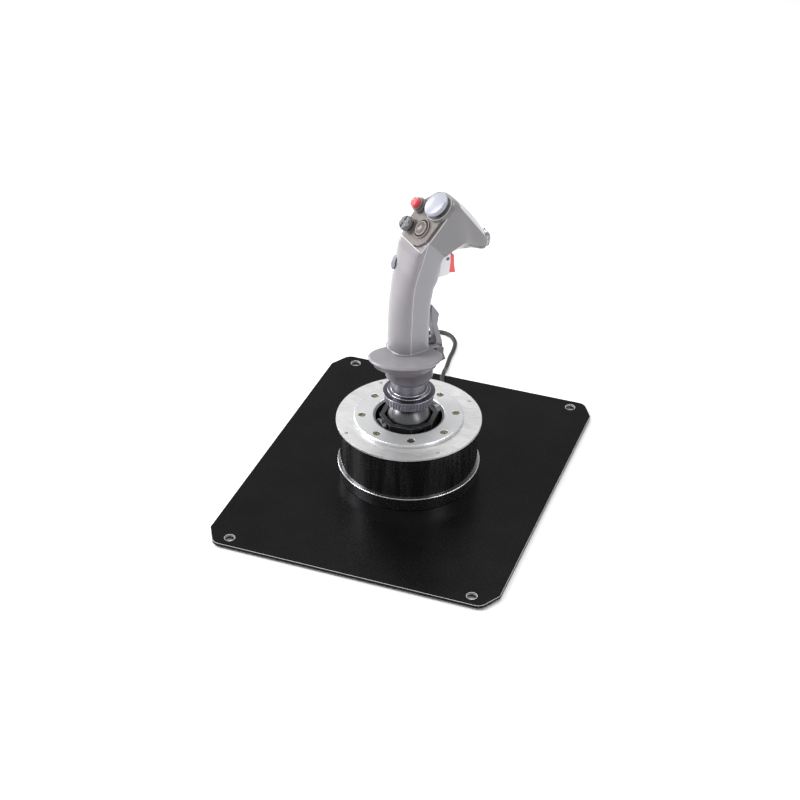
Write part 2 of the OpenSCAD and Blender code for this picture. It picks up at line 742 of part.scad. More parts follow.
module hat_switches() {
    color([0.1, 0.1, 0.11]) {
        trim_frame() hat_switch();
        face_frame() translate(castle_pos) hat_switch();
        face_frame() translate(thumb_pos) hat_switch();
    }
    color([0.1, 0.1, 0.11]) face_frame() translate(weapon_pos)
        translate([1.6, -3, -10]) cube([4.8, 4.6, 4]);
}

module side_hat_pod() {
    color([0.28, 0.28, 0.3]) side_frame() difference() {
        translate([0, 0, -13.5]) cylinder(r = pod_r, h = 8, $fn = 48);
        translate([0, 0, -12]) cylinder(r = 5.4, h = 10, $fn = 48);
    }
    color([0.1, 0.1, 0.11]) side_frame()
        translate([0, 0, -12]) cylinder(r = 1.8, h = 12 - 8 - pivot_r - pivot_gap, $fn = 32);
}

module horn_bezel() {
    color([0.7, 0.7, 0.72]) horn_frame() difference() {
        union() {
            translate([0, 0, -4]) cylinder(r = horn_seat_r, h = 4, $fn = 48);
            rotate_extrude($fn = 48) polygon([
                [0, 0], [horn_rim_r, 0], [horn_rim_r, 1.4], [7.9, 1.9], [7, 1.9], [7, 2.8], [7.7, 2.8],
                [7.7, 4.2], [7.2, 4.7], [0, 4.7]]);
        }
        translate([0, 0, -2]) cylinder(r = 5.5, h = 10, $fn = 48);
    }
}

module trigger_housing() {
    color([0.85, 0.86, 0.88]) stick_frame() difference() {
        side_slab([[20, 188.2], [31.2, 188.6], [32.4, 200], [32.2, 210.5], [27, 210.5],
                   [20, 200]], -housing_half, housing_half);
        grip_outer();
        translate([-trigger_half - 0.4, spring_start_y, 170])
            cube([2 * trigger_half + 0.8, 20, 40]);
        cross_rod(trigger_pin_r, -12, 12, trigger_pivot[0], trigger_pivot[1]);
    }
}

module trigger_pin() {
    color([0.7, 0.7, 0.72]) stick_frame()
        cross_rod(trigger_pin_r, -housing_half, housing_half, trigger_pivot[0], trigger_pivot[1]);
}

module lever_pin() {
    color([0.7, 0.7, 0.72]) stick_frame()
        cross_rod(lever_pin_r, -8.7, 8.7, lever_pivot[0], lever_pivot[1]);
}

module grip_board() {
    color([0.1, 0.3, 0.18]) stick_frame() translate([-9, 1, 142]) cube([18, 1.6, 34]);
    color([0.1, 0.1, 0.1]) stick_frame() {
        translate([-3.5, 2.6, 150]) cube([7, 1.2, 7]);
        translate([-5, 2.6, 164]) cube([10, 4, 4]);
    }
}

// ---------- moving controls ----------

module trigger() {
    color([0.98, 0.46, 0.48]) stick_frame() difference() {
        union() {
            side_slab([[30.6, 200.6], [34.1, 197.4], [33.5, 187.8], [39.1, 187.2], [38, 195],
                       [37.6, 203.6], [30.6, 206.2]], -trigger_half, trigger_half);
            cross_rod(3, -trigger_half, trigger_half, trigger_pivot[0], trigger_pivot[1]);
        }
        cross_rod(trigger_pin_r + pin_play, -12, 12, trigger_pivot[0], trigger_pivot[1]);
    }
}

// Small coil spring that pushes the trigger forward
module trigger_spring() {
    turns = 4;
    coil_r = 1.7;
    wire_r = 0.3;
    steps = 12;
    y0 = spring_start_y + 0.5;
    route = [for (i = [0:turns * steps])
        [coil_r * cos(i * 360 / steps), y0 + 7 * i / (turns * steps),
         spring_z + coil_r * sin(i * 360 / steps)]];
    color([0.75, 0.76, 0.78]) stick_frame() skin([for (i = [0:len(route) - 1])
        let (t = heading(route, i))
        let (out = unit([cos(i * 360 / steps), 0, sin(i * 360 / steps)]))
        let (side = unit(cross(out, t)))
        [for (j = [0:5]) route[i] + wire_r * (cos(60 * j) * out + sin(60 * j) * side)]]);
}

module pinkie_lever() {
    color([0.64, 0.64, 0.68]) stick_frame() difference() {
        union() {
            side_slab([[17.8, 159.4], [19.4, 160.4], [24.7, 152.3], [23.2, 142.5], [25.6, 133],
                       [27.6, 126.3], [29, 114.6], [31.5, 106.4], [27, 105.2], [25.2, 112],
                       [21.6, 115.6], [21, 121.5], [22.6, 127], [20, 138], [18.2, 148]],
                      -lever_half, lever_half);
            cross_rod(3, -lever_half, lever_half, lever_pivot[0], lever_pivot[1]);
        }
        cross_rod(lever_pin_r + pin_play, -12, 12, lever_pivot[0], lever_pivot[1]);
    }
}

module weapon_button() {
    color([0.98, 0.46, 0.48]) face_frame() translate(weapon_pos) {
        translate([0, 0, 2]) cylinder(r = 4, h = 7.5, $fn = 48);
        translate([0, 0, 9.4]) rotate_extrude($fn = 48) polygon([
            [0, 0], [4, 0], [4, 1.4], [3.2, 2.2], [0, 2.6]]);
    }
}

module horn_button() {
    color([0.72, 0.72, 0.75]) horn_frame() rotate_extrude($fn = 48) polygon([
        [0, 0], [5.2, 0], [5.2, 6.1], [4.6, 6.7], [2.6, 6.7], [2.2, 6.2], [0, 6.2]]);
}

// Stem of a hat, down to just over its pivot ball
module hat_stem(r, top) {
    z0 = pivot_depth + pivot_r + pivot_gap;
    translate([0, 0, z0]) cylinder(r = r, h = top - z0, $fn = 32);
}

module hat_pivot() {
    translate([0, 0, pivot_depth]) sphere(r = pivot_r, $fn = 32);
}

module trim_hat() {
    color([0.76, 0.77, 0.85]) trim_frame() union() {
        rotate_extrude($fn = 64) polygon([
            [0, 5.9], [10, 5.9], [10.6, 6.7], [10.6, 8.2], [9.6, 9.4], [6, 10.3], [0, 10.7]]);
        hat_stem(2.8, 6.2);
    }
}

module trim_hat_pivot() {
    color([0.6, 0.6, 0.62]) trim_frame() hat_pivot();
}

module castle_hat() {
    color([0.4, 0.4, 0.43]) face_frame() translate(castle_pos) union() {
        difference() {
            rotate_extrude($fn = 48) polygon([
                [0, 6], [5.4, 6], [6.2, 7], [6.2, 9], [5, 11], [0, 11]]);
            for (a = [0, 90]) rotate([0, 0, a]) translate([-7, -1, 9.8]) cube([14, 2, 2]);
        }
        hat_stem(2.4, 6.5);
    }
}

module castle_hat_pivot() {
    color([0.6, 0.6, 0.62]) face_frame() translate(castle_pos) hat_pivot();
}

module thumb_hat() {
    color([0.42, 0.36, 0.34]) face_frame() translate(thumb_pos) union() {
        rotate_extrude($fn = 48) polygon([
            [0, 1.8], [6, 1.8], [6.2, 2.2], [6.2, 4.2], [5.4, 4.6], [3, 3.4], [0, 3]]);
        hat_stem(2.4, 2.2);
    }
}

module thumb_hat_pivot() {
    color([0.6, 0.6, 0.62]) face_frame() translate(thumb_pos) hat_pivot();
}

module side_hat() {
    color([0.72, 0.74, 0.82]) side_frame() union() {
        rotate_extrude($fn = 48) polygon([
            [0, -4], [5.6, -4], [6, -3.6], [6, -0.8], [5.2, 0], [0, 0.2]]);
        translate([0, 0, -8 + pivot_r + pivot_gap])
            cylinder(r = 2.2, h = 4.4 - pivot_r - pivot_gap, $fn = 32);
    }
}

module side_hat_pivot() {
    color([0.6, 0.6, 0.62]) side_frame() translate([0, 0, -8]) sphere(r = pivot_r, $fn = 32);
}

// ---------- cord ----------

module cable_gland() {
    color([0.07, 0.07, 0.07]) difference() {
        translate([gland_x, 0, gland_z]) rotate([-90, 0, 0]) union() {
            translate([0, 0, 50]) cylinder(r = 3.2, h = 9, $fn = 32);
            translate([0, 0, 58]) cylinder(r = 5.5, h = 4, $fn = 6);
            translate([0, 0, 62]) cylinder(r1 = 4.4, r2 = cord_d / 2 + 0.9, h = 16, $fn = 32);
        }
        translate([gland_x, 49, gland_z]) rotate([-90, 0, 0]) cylinder(r = 1.4, h = 30, $fn = 32);
        difference() {
            translate([gland_x - 7, 54.2, gland_z - 7]) cube([14, 5, 14]);
            translate([gland_x, 50, gland_z]) rotate([-90, 0, 0]) cylinder(r = 3.2, h = 12, $fn = 32);
            ring(80, barrel_r, 0, 60);
        }
    }
}

module usb_cord() {
    color([0.1, 0.1, 0.1]) tube(CORD_ROUTE, cord_d / 2);
}

module usb_cord_tail() {
    color([0.1, 0.1, 0.1]) tube(TAIL_ROUTE, cord_d / 2);
}

module cord_coil() {
    half = coil_wide * cord_d / 2;
    h = coil_high * cord_d;
    corner = 1.5;
    color([0.1, 0.1, 0.1]) translate([coil_c[0], coil_c[1], plate_top])
        rotate_extrude($fn = round_fn) polygon([
            [coil_mid_r - half + corner, 0], [coil_mid_r + half - corner, 0],
            [coil_mid_r + half, corner], [coil_mid_r + half, h - corner],
            [coil_mid_r + half - corner, h], [coil_mid_r - half + corner, h],
            [coil_mid_r - half, h - corner], [coil_mid_r - half, corner]]);
}

module cord_tie() {
    w = coil_wide * cord_d + 1.6;
    h = coil_high * cord_d;
    color([0.15, 0.15, 0.16]) translate([coil_c[0], coil_c[1], plate_top])
        rotate([0, 0, -60]) difference() {
            translate([coil_mid_r - w / 2, -4, 0]) cube([w, 8, h + 0.8]);
            translate([coil_mid_r - w / 2 + 0.8, -5, -1]) cube([w - 1.6, 10, h + 1]);
        }
}

module usb_plug() {
    color([0.09, 0.09, 0.09]) translate(plug_p) rotate([0, 0, plug_turn]) union() {
        translate([-7, -34, -4]) cube([14, 26, 8]);
        rotate([90, 0, 0]) cylinder(r1 = 2.8, r2 = 3.6, h = 8, $fn = 32);
    }
    color([0.8, 0.8, 0.82]) translate(plug_p) rotate([0, 0, plug_turn]) difference() {
        translate([-6, -46, -2.25]) cube([12, 12, 4.5]);
        translate([-5.6, -47, -1.85]) cube([11.2, 11, 3.7]);
    }
}

base_plate();
rubber_feet();
plate_screws();
skirt_ring();
barrel_housing();
top_flange();
cover_ring();
cover_ring_screws();
aperture_lip();
gimbal_bracket();
roll_bearings();
magnet_carrier();
centring_magnet();
sensor_board();
main_board();
cable_gland();
usb_cord();
usb_cord_tail();
cord_coil();
cord_tie();
usb_plug();
gimbal_ring();
roll_pins();
pitch_bearings();
ball_dome();
stick_spindle();
pitch_pins();
moving_magnet();
connector_plate();
din_socket();
grip_neck();
grip_cone();
palm_shelf();
shelf_screws();
grip_rear_shell();
grip_front_shell();
face_panel();
trim_hat_bezel();
hat_switches();
side_hat_pod();
horn_bezel();
trigger_housing();
trigger_pin();
lever_pin();
grip_board();
locking_ring();
trigger();
trigger_spring();
pinkie_lever();
weapon_button();
horn_button();
trim_hat();
trim_hat_pivot();
castle_hat();
castle_hat_pivot();
thumb_hat();
thumb_hat_pivot();
side_hat();
side_hat_pivot();
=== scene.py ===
"""Looks of a desktop flight joystick: drilled plate, magnetic gimbal base and pistol grip.

Sizes are in millimetres in the grip's own frame, where x is its right, y is forward
and z is the height over the desk plate. Every piece is moved from there to the row frame.
"""

import json
import math

import bmesh
import bpy
from mathutils import Matrix, Vector

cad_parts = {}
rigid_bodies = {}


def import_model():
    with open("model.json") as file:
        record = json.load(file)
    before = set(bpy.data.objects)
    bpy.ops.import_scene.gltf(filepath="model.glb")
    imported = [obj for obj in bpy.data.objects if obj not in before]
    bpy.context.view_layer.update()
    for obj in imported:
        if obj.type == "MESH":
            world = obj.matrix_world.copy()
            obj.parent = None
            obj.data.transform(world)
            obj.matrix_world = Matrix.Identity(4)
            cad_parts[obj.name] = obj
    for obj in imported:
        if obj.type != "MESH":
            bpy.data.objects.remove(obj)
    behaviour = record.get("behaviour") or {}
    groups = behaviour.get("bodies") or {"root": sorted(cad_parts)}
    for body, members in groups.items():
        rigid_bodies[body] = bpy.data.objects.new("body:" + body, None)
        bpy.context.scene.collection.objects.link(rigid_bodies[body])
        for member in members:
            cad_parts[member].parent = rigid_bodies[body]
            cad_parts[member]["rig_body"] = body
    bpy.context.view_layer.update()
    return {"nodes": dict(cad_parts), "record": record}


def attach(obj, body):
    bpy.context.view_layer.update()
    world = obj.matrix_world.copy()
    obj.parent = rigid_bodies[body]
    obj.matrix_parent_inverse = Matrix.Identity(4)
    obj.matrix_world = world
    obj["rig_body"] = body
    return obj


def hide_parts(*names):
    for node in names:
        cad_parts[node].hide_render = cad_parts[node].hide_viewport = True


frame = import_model()
record = frame["record"]
SLOT_OF = {part["node"]: part["material_slot"] for part in record["subparts"]}

MM = 0.001
PLATE_TOP = 4.5
SCALE = Matrix.Scale(MM, 4)


def turn(degrees, axis):
    return Matrix.Rotation(math.radians(degrees), 4, axis)


def shift(x, y, z):
    return Matrix.Translation((x, y, z))


# The sloped face of the grip: its origin and slope, and its reach behind and ahead of it
FACE_Y, FACE_Z, FACE_SLOPE = 6.6, 226, 50
FACE_BACK, FACE_FRONT = 7.6, 38.5

FORWARD, UP = (0, 1, 0), (0, 0, 1)

# Frames of the grip, the face, the trim hat's seat, the side hat's pod and the horn's end
STICK = SCALE @ turn(-42.75, "Z") @ shift(0, 0, PLATE_TOP)
FACE = STICK @ shift(0, FACE_Y, FACE_Z) @ turn(FACE_SLOPE, "X")
TRIM = FACE @ shift(5.6, 28.2, 0) @ turn(-9, "X")
SIDE = STICK @ shift(-17.5, -6.1, 197) @ turn(220, "Z") @ turn(90, "Y")
HORN = STICK @ shift(0, 64.2, 210.1) @ turn(-90, "X")


# ---------- camera ----------

CAMERA_AZIMUTH, CAMERA_ELEVATION, CAMERA_ROLL = 20.24, 34.05, 0.207
CAMERA_TARGET = Vector((0.0002, -0.0223, 0.0903))
CAMERA_DISTANCE = 1.48458
CAMERA_LENS, CAMERA_SENSOR = 81.2, 36


def make_camera():
    azimuth, elevation = math.radians(CAMERA_AZIMUTH), math.radians(CAMERA_ELEVATION)
    back = Vector((math.sin(azimuth) * math.cos(elevation),
                   -math.cos(azimuth) * math.cos(elevation), math.sin(elevation)))
    place = CAMERA_TARGET + back * CAMERA_DISTANCE
    data = bpy.data.cameras.new("camera")
    data.lens = CAMERA_LENS
    data.sensor_width = CAMERA_SENSOR
    camera = bpy.data.objects.new("camera", data)
    bpy.context.scene.collection.objects.link(camera)
    facing = (-back).to_track_quat("-Z", "Y").to_matrix().to_4x4()
    camera.matrix_world = Matrix.Translation(place) @ facing @ turn(CAMERA_ROLL, "Z")
    bpy.context.scene.camera = camera


make_camera()


# ---------- materials ----------

def linear(r, g, b):
    """Scene-linear colour of an everyday 0 to 255 one."""
    return tuple(((c / 255 + 0.055) / 1.055) ** 2.4 if c > 10 else c / 255 / 12.92
                 for c in (r, g, b))


class Paint:
    """Builds one procedural material, node by node."""

    def __init__(self, name, roughness, metallic=0.0, coat=0.0, specular=0.5):
        self.material = bpy.data.materials.new(name)
        self.material.use_nodes = True
        self.nodes = self.material.node_tree.nodes
        self.links = self.material.node_tree.links
        self.shader = self.nodes["Principled BSDF"]
        self.shader.inputs["Roughness"].default_value = roughness
        self.shader.inputs["Metallic"].default_value = metallic
        self.shader.inputs["Coat Weight"].default_value = coat
        self.shader.inputs["Coat Roughness"].default_value = 0.08
        self.shader.inputs["Specular IOR Level"].default_value = specular
        self.place = self.nodes.new("ShaderNodeTexCoord").outputs["Object"]
        self.normal = None

    def stretched(self, x, y, z):
        mapping = self.nodes.new("ShaderNodeMapping")
        mapping.inputs["Scale"].default_value = (x, y, z)
        self.links.new(self.place, mapping.inputs["Vector"])
        return mapping.outputs["Vector"]

    def noise(self, scale, detail=3.0, vector=None):
        node = self.nodes.new("ShaderNodeTexNoise")
        node.inputs["Scale"].default_value = scale
        node.inputs["Detail"].default_value = detail
        self.links.new(vector or self.place, node.inputs["Vector"])
        return node.outputs["Fac"]

    def spread(self, value, low, high, start=0.3, end=0.7, clamp=True):
        node = self.nodes.new("ShaderNodeMapRange")
        node.inputs["From Min"].default_value = start
        node.inputs["From Max"].default_value = end
        node.inputs["To Min"].default_value = low
        node.inputs["To Max"].default_value = high
        node.clamp = clamp
        self.links.new(value, node.inputs["Value"])
        return node.outputs["Result"]

    def mix(self, factor, a, b):
        node = self.nodes.new("ShaderNodeMix")
        node.data_type = "RGBA"
        self.links.new(factor, node.inputs["Factor"])
        for socket, colour in ((node.inputs["A"], a), (node.inputs["B"], b)):
            if isinstance(colour, tuple):
                socket.default_value = (*colour, 1)
            else:
                self.links.new(colour, socket)
        return node.outputs["Result"]

    def colour(self, value):
        self.links.new(value, self.shader.inputs["Base Color"])

    def rough(self, value):
        self.links.new(value, self.shader.inputs["Roughness"])

    def bump(self, height, distance, strength=1.0):
        node = self.nodes.new("ShaderNodeBump")
        node.inputs["Distance"].default_value = distance
        node.inputs["Strength"].default_value = strength
        self.links.new(height, node.inputs["Height"])
        if self.normal:
            self.links.new(self.normal, node.inputs["Normal"])
        self.normal = node.outputs["Normal"]
        self.links.new(self.normal, self.shader.inputs["Normal"])


def plastic(name, rgb, rough=0.45, grain=0.00003, coat=0.0, wear=0.25, light=1.35):
    """Moulded plastic: fine spark texture, faint mottling and lighter scuffs."""
    paint = Paint(name, rough, coat=coat)
    base = linear(*rgb)
    dark = tuple(0.93 * c for c in base)
    bright = tuple(min(1.0, light * c + 0.02) for c in base)
    mottled = paint.mix(paint.spread(paint.noise(140), 0, 1), dark, base)
    scuffs = paint.spread(paint.noise(26, 5), 0, wear, 0.6, 0.85)
    paint.colour(paint.mix(scuffs, mottled, bright))
    paint.rough(paint.spread(paint.noise(900), rough - 0.05, rough + 0.06))
    paint.bump(paint.noise(4200, 2), grain)
    return paint.material


def metal(name, rgb, rough=0.3, brushed=(1, 1, 1), depth=0.00001, dark_share=0.85, scale=900,
          metallic=1.0):
    """Metal with a directional grain: brushed stretches the grain along an axis."""
    paint = Paint(name, rough, metallic)
    base = linear(*rgb)
    grain = paint.noise(scale, 4, paint.stretched(*brushed))
    dark = tuple(dark_share * c for c in base)
    soft = paint.mix(paint.spread(grain, 0, 1), dark, base)
    paint.colour(paint.mix(paint.spread(paint.noise(60), 0, 0.25), soft, dark))
    paint.rough(paint.spread(grain, rough - 0.06, rough + 0.1))
    paint.bump(grain, depth)
    return paint.material


def along(paint, direction):
    """A point's place along a direction of the grip's frame, in metres."""
    dot = paint.nodes.new("ShaderNodeVectorMath")
    dot.operation = "DOT_PRODUCT"
    dot.inputs[1].default_value = STICK.to_3x3().normalized() @ Vector(direction)
    paint.links.new(paint.place, dot.inputs[0])
    return dot.outputs["Value"]


def level_of(direction, point):
    """The same measure for one point given in millimetres of the grip's frame."""
    return (Vector(direction).dot(Vector(point)) + direction[2] * PLATE_TOP) * MM


def by_height(paint, low, high, level, blend):
    """Mixes two colours across a height over the desk plate, in millimetres."""
    z = level_of(UP, (0, 0, level))
    return paint.mix(paint.spread(along(paint, UP), 0, 1, z, z + blend * MM), low, high)


def painted_shade_by_height(name, low_rgb, high_rgb, level, blend, rough):
    """Moulded plastic in two tones across a height, the darker one painted shade, as where a
    shelf turns under or overhangs.
    """
    paint = Paint(name, rough, coat=0.15)
    tone = by_height(paint, linear(*low_rgb), linear(*high_rgb), level, blend)
    paint.colour(paint.mix(paint.spread(paint.noise(110), 0, 0.14), tone, linear(*low_rgb)))
    paint.rough(paint.spread(paint.noise(900), rough - 0.05, rough + 0.06))
    paint.bump(paint.noise(3600, 2), 0.00003)
    return paint.material


def black_plate():
    """Powder-coated steel: near black, satin, with a fine orange peel."""
    paint = Paint("black_plate", 0.24, specular=0.12)
    paint.colour(paint.mix(paint.spread(paint.noise(35, 4), 0, 1), (0.002, 0.002, 0.0022),
                           (0.0038, 0.0038, 0.004)))
    paint.rough(paint.spread(paint.noise(700), 0.22, 0.32))
    paint.bump(paint.noise(2400, 2), 0.000025)
    return paint.material


def gloss_black():
    """Lacquered barrel: deep gloss over faint upright drawing lines in the tube."""
    paint = Paint("gloss_black", 0.16, coat=0.6, specular=0.6)
    lines = paint.noise(260, 4, paint.stretched(1, 1, 0.07))
    paint.colour(paint.mix(paint.spread(lines, 0, 1, 0.45, 0.75), linear(19, 19, 20),
                           linear(40, 39, 41)))
    paint.rough(paint.spread(lines, 0.1, 0.24))
    paint.bump(lines, 0.00005)
    return paint.material


def fine_weave(name, rgb):
    """Woven strap: thin threads running one way."""
    paint = Paint(name, 0.8)
    across = paint.nodes.new("ShaderNodeTexWave")
    across.inputs["Scale"].default_value = 900
    paint.links.new(paint.place, across.inputs["Vector"])
    base = linear(*rgb)
    paint.colour(paint.mix(across.outputs["Fac"], base, tuple(1.8 * c for c in base)))
    paint.bump(across.outputs["Fac"], 0.0001)
    return paint.material


def board_green():
    """Solder mask with paler copper tracks under it."""
    paint = Paint("circuit_board", 0.35, coat=0.3)
    tracks = paint.nodes.new("ShaderNodeTexBrick")
    tracks.inputs["Scale"].default_value = 260
    paint.links.new(paint.place, tracks.inputs["Vector"])
    paint.colour(paint.mix(tracks.outputs["Fac"], linear(18, 84, 50), linear(40, 120, 72)))
    paint.bump(tracks.outputs["Fac"], 0.00003)
    return paint.material


MATERIALS = {
    "black_plate": black_plate(),
    "gloss_black": gloss_black(),
    "circuit_board": board_green(),
    "tie_strap": fine_weave("tie_strap", (38, 38, 40)),
    "rubber": plastic("rubber", (24, 24, 25), 0.75, 0.00008, wear=0.05),
    "cord_rubber": plastic("cord_rubber", (40, 40, 42), 0.5, 0.00002, wear=0.0),
    "black_steel": metal("black_steel", (70, 70, 72), 0.4),
    "chromed_ring": metal("chromed_ring", (170, 171, 175), 0.24, (1, 1, 14), scale=300),
    "satin_aluminium": metal("satin_aluminium", (226, 226, 226), 0.36, (0.25, 3.2, 1),
                             0.000012, 0.8, 500, metallic=0.75),
    "bright_aluminium": metal("bright_aluminium", (208, 209, 210), 0.34, (0.6, 1.6, 1),
                              0.000002, 0.96, 700, metallic=0.6),
    "brass": metal("brass", (138, 132, 110), 0.34, dark_share=0.7),
    "matt_black": plastic("matt_black", (34, 34, 35), 0.42, coat=0.2, light=2.2),
    "dark_aluminium": metal("dark_aluminium", (110, 110, 114), 0.4),
    "bearing_steel": metal("bearing_steel", (104, 105, 108), 0.3),
    "magnet": metal("magnet", (190, 191, 195), 0.18),
    "dark_chrome": metal("dark_chrome", (118, 119, 122), 0.3, (1, 1, 5), 0.000004, 0.75),
    # Painted shade: dark_plastic is darker above 98 mm, under the palm shelf, and shelf_grey
    # darker below 121.5 mm, where the shelf turns under
    "dark_plastic": painted_shade_by_height("dark_plastic", (92, 88, 98), (66, 62, 68), 98, 6, 0.4),
    "socket_beige": plastic("socket_beige", (205, 198, 178), 0.45),
    "thread_metal": metal("thread_metal", (122, 120, 129), 0.3, (1, 1, 6), scale=600),
    "shelf_grey": painted_shade_by_height("shelf_grey", (96, 90, 98), (144, 142, 147), 121.5, 2.5, 0.36),
    "panel_brown": plastic("panel_brown", (112, 104, 101), 0.36, coat=0.35, light=1.5),
    "bezel_grey": plastic("bezel_grey", (116, 113, 113), 0.3, coat=0.4, light=1.6),
    "housing_white": plastic("housing_white", (228, 228, 230), 0.35, coat=0.2, light=1.05),
    "knurled_steel": metal("knurled_steel", (104, 102, 112), 0.3, (1, 1, 4)),
    "coral_red": plastic("coral_red", (240, 84, 92), 0.34, 0.00001, 0.35, 0.1, 1.15),
    "hat_lavender": plastic("hat_lavender", (164, 165, 178), 0.34, 0.00004, 0.3, 0.15, 1.2),
    "hat_dark": plastic("hat_dark", (98, 98, 101), 0.4, coat=0.25, light=1.5),
    # shell_edge: painted highlight for the rounded edges of the grip shells, lighter than the
    # shells
    "shell_edge": plastic("shell_edge", (206, 204, 208), 0.26, coat=0.4),
}

# Painted highlights for the rounded edges: lighter paints that stand in for the light the edges
# catch, one for each paint of the faces beside them
EDGE_HIGHLIGHT_PAINTS = {
    "black_plate": plastic("plate_edge_highlight", (214, 214, 217), 0.3),
    "chromed_ring": metal("ring_edge_highlight", (245, 245, 247), 0.2),
    "satin_aluminium": metal("flange_edge_highlight", (222, 223, 226), 0.28),
    "bright_aluminium": metal("cover_edge_highlight", (246, 247, 249), 0.24, metallic=0.8),
    "matt_black": plastic("black_edge_highlight", (168, 168, 170), 0.25, coat=0.5),
    "panel_brown": plastic("panel_edge_highlight", (158, 152, 150), 0.3, coat=0.4),
    "bezel_grey": plastic("bezel_edge_highlight", (176, 174, 174), 0.3, coat=0.4),
    "hat_dark": plastic("hat_edge_highlight", (158, 160, 165), 0.3, coat=0.3),
    "shelf_grey": plastic("shelf_edge_highlight", (188, 186, 192), 0.3, coat=0.3),
    "knurled_steel": metal("knurl_edge_highlight", (226, 226, 232), 0.22),
    "thread_metal": metal("thread_edge_highlight", (228, 228, 232), 0.22),
    "brass": metal("brass_edge_highlight", (206, 202, 188), 0.3),
    "dark_aluminium": metal("carrier_edge_highlight", (214, 214, 218), 0.25),
    "black_steel": metal("steel_edge_highlight", (196, 196, 200), 0.25),
}


def sums(paint, operation, a, b=None):
    node = paint.nodes.new("ShaderNodeMath")
    node.operation = operation
    paint.links.new(a, node.inputs[0])
    if b:
        paint.links.new(b, node.inputs[1])
    return node.outputs["Value"]


RIDGE_WAY, RIDGE_POINT = (0, 0.797, 0.604), (0, 35, 253.5)


def painted_ridge_highlight(paint, tone):
    """Painted highlight: lightens the flat ridge on top of the horn, where it catches the
    light.
    """
    start = level_of(RIDGE_WAY, RIDGE_POINT)
    high = paint.spread(along(paint, RIDGE_WAY), 0, 1, start - 0.3 * MM, start + 0.3 * MM)
    out = paint.spread(along(paint, FORWARD), 0, 1, 37 * MM, 38.5 * MM)
    # Painted highlight colour of the ridge
    return paint.mix(sums(paint, "MULTIPLY", high, out), tone, linear(212, 210, 214))


def band(paint, value, middle, half):
    """1 where value lies within half of middle, and 0 elsewhere."""
    share = paint.spread(value, -1, 1, middle - half, middle + half, False)
    return paint.spread(sums(paint, "ABSOLUTE", share), 1, 0, 0.7, 1)


def face_lip(paint):
    """1 in a narrow strip outside the two cuts that make room for the face panel."""
    rise, run = math.sin(math.radians(FACE_SLOPE)), math.cos(math.radians(FACE_SLOPE))
    cuts = (((0, rise, -run), (0, FACE_Y, FACE_Z)),
            ((0, -run, -rise), (0, FACE_Y - FACE_BACK * run, FACE_Z - FACE_BACK * rise)))
    below, behind = (
        paint.spread(along(paint, way), 0, 1, level_of(way, spot), level_of(way, spot) + MM,
                     False)
        for way, spot in cuts)
    return band(paint, sums(paint, "MAXIMUM", below, behind), 0.4, 0.4)


def painted_rim_highlight(paint, tone, seam_side):
    """Painted highlight: lightens the lip around the face and a line along the seam, where the
    shell's edges catch the light.
    """
    lip = face_lip(paint)
    low, high, reach = SEAM[0][1], SEAM[-1][1], 10
    height = paint.spread(along(paint, UP), 0, 1, level_of(UP, (0, 0, low)),
                          level_of(UP, (0, 0, high)))
    curve = paint.nodes.new("ShaderNodeFloatCurve")
    line = curve.mapping.curves[0]
    spots = [((z - low) / (high - low), (y + reach) / (2 * reach)) for y, z in SEAM]
    line.points[0].location, line.points[-1].location = spots[0], spots[-1]
    for spot in spots[1:-1]:
        line.points.new(*spot)
    curve.mapping.update()
    paint.links.new(height, curve.inputs["Value"])
    place = paint.spread(along(paint, FORWARD), 0, 1, -reach * MM, reach * MM)
    gap = sums(paint, "SUBTRACT", place, curve.outputs["Value"])
    seam = band(paint, gap, seam_side * 0.12 / reach, 0.16 / reach)
    # Painted highlight along the seam
    lit = paint.mix(seam, tone, linear(205, 203, 207))
    # Painted highlight on the lip around the face
    return paint.mix(lip, lit, linear(214, 212, 216))


def shell_paint(name, rgb, shaded_head_rgb, seam_side, rough=0.34):
    """Grip shell: satin plastic with painted shade on the head past the moulded crease, where
    it turns away from the light, and painted highlights on the ridge, the face lip and the
    seam.
    """
    paint = Paint(name, rough, coat=0.35)
    body, head = linear(*rgb), linear(*shaded_head_rgb)
    # Painted shade: past the crease the head takes the darker colour
    level = level_of(CREASE_WAY, CREASE_POINT)
    past = paint.spread(along(paint, CREASE_WAY), 0, 1, level - 0.3 * MM, level + 0.9 * MM)
    tone = painted_ridge_highlight(paint, paint.mix(past, body, head))
    shade = paint.mix(paint.spread(paint.noise(120), 0, 0.12), tone,
                      tuple(0.8 * c for c in body))
    paint.colour(painted_rim_highlight(paint, shade, seam_side))
    paint.rough(paint.spread(paint.noise(900), rough - 0.05, rough + 0.07))
    paint.bump(paint.noise(3600, 2), 0.00004)
    return paint.material


# ---------- mesh helpers ----------

def new_object(name, mesh):
    obj = bpy.data.objects.new(name, mesh)
    bpy.context.scene.collection.objects.link(obj)
    return obj


def from_points(name, points, faces, matrix):
    mesh = bpy.data.meshes.new(name)
    mesh.from_pydata([matrix @ Vector(p) for p in points], [], faces)
    mesh.validate()
    work = bmesh.new()
    work.from_mesh(mesh)
    bmesh.ops.recalc_face_normals(work, faces=work.faces)
    work.to_mesh(mesh)
    work.free()
    return new_object(name, mesh)


def baked(obj):
    """Turns an object's modifiers into its mesh."""
    graph = bpy.context.evaluated_depsgraph_get()
    mesh = bpy.data.meshes.new_from_object(obj.evaluated_get(graph))
    obj.modifiers.clear()
    obj.data = mesh
    return obj


def carve(obj, cutter, operation="DIFFERENCE"):
    change = obj.modifiers.new("carve", "BOOLEAN")
    change.operation = operation
    change.object = cutter
    change.solver = "MANIFOLD"
    baked(obj)
    return obj


def discard(*objects):
    for obj in objects:
        bpy.data.objects.remove(obj)


